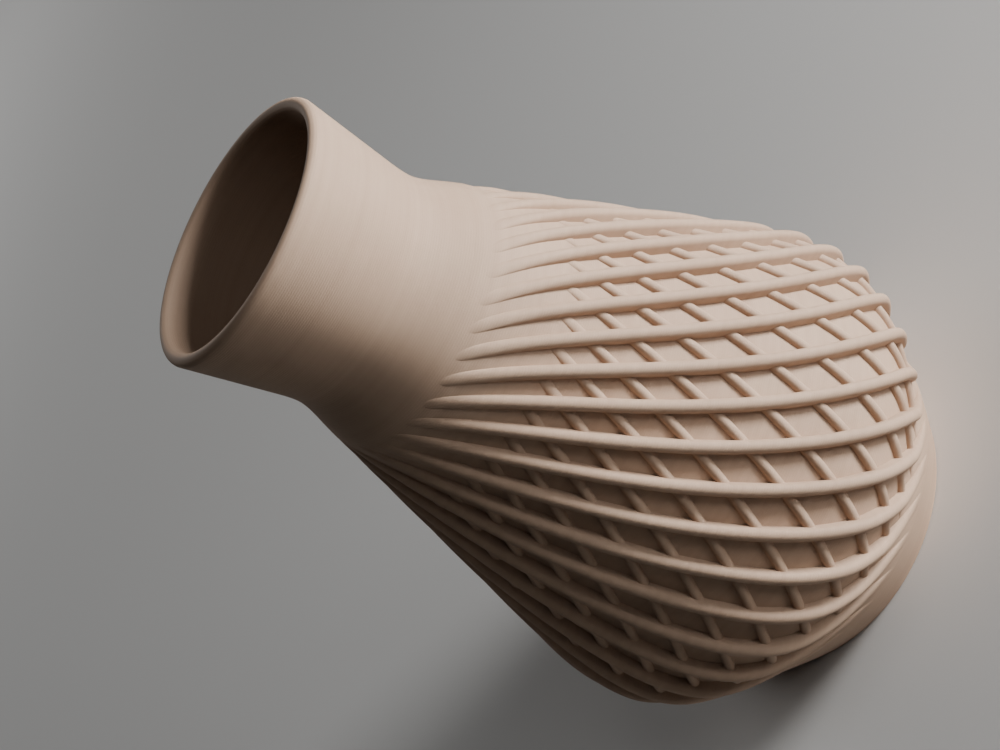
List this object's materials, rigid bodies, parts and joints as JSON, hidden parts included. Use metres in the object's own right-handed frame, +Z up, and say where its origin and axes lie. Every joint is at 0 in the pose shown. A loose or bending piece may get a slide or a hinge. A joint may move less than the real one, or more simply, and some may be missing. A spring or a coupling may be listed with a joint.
{
  "type": "lattice-ribbed vase",
  "caption": "Bulbous free-standing vase with a flared mouth, a smooth neck and a belly wrapped in crossing helical ribs.",
  "frame": {"origin": "centre of the flat foot, on the surface that the vase stands on", "axes": "+Z up along the vase's axis, from the foot to the mouth; +X and +Y square to it, with no preferred side"},
  "size_m": [0.1408, 0.1408, 0.2],
  "materials": {
    "printed_plastic": "matte, with fine layer lines"
  },
  "bodies": {
    "vase": {"floor": "printed_plastic", "belly_wall": "printed_plastic", "neck": "printed_plastic", "lip": "printed_plastic", "fin_01": "printed_plastic", "fin_02": "printed_plastic", "fin_03": "printed_plastic", "fin_04": "printed_plastic", "fin_05": "printed_plastic", "fin_06": "printed_plastic", "fin_07": "printed_plastic", "fin_08": "printed_plastic", "fin_09": "printed_plastic", "fin_10": "printed_plastic", "fin_11": "printed_plastic", "fin_12": "printed_plastic", "fin_13": "printed_plastic", "fin_14": "printed_plastic", "fin_15": "printed_plastic", "fin_16": "printed_plastic", "fin_17": "printed_plastic", "fin_18": "printed_plastic", "fin_19": "printed_plastic", "fin_20": "printed_plastic", "fin_21": "printed_plastic", "fin_22": "printed_plastic", "fin_23": "printed_plastic", "fin_24": "printed_plastic", "fin_25": "printed_plastic", "fin_26": "printed_plastic", "fin_27": "printed_plastic", "fin_28": "printed_plastic", "fin_29": "printed_plastic", "fin_30": "printed_plastic", "fin_31": "printed_plastic", "fin_32": "printed_plastic", "cross_ribs_1": "printed_plastic", "cross_ribs_2": "printed_plastic", "cross_ribs_3": "printed_plastic", "cross_ribs_4": "printed_plastic"}
  },
  "joints": []
}
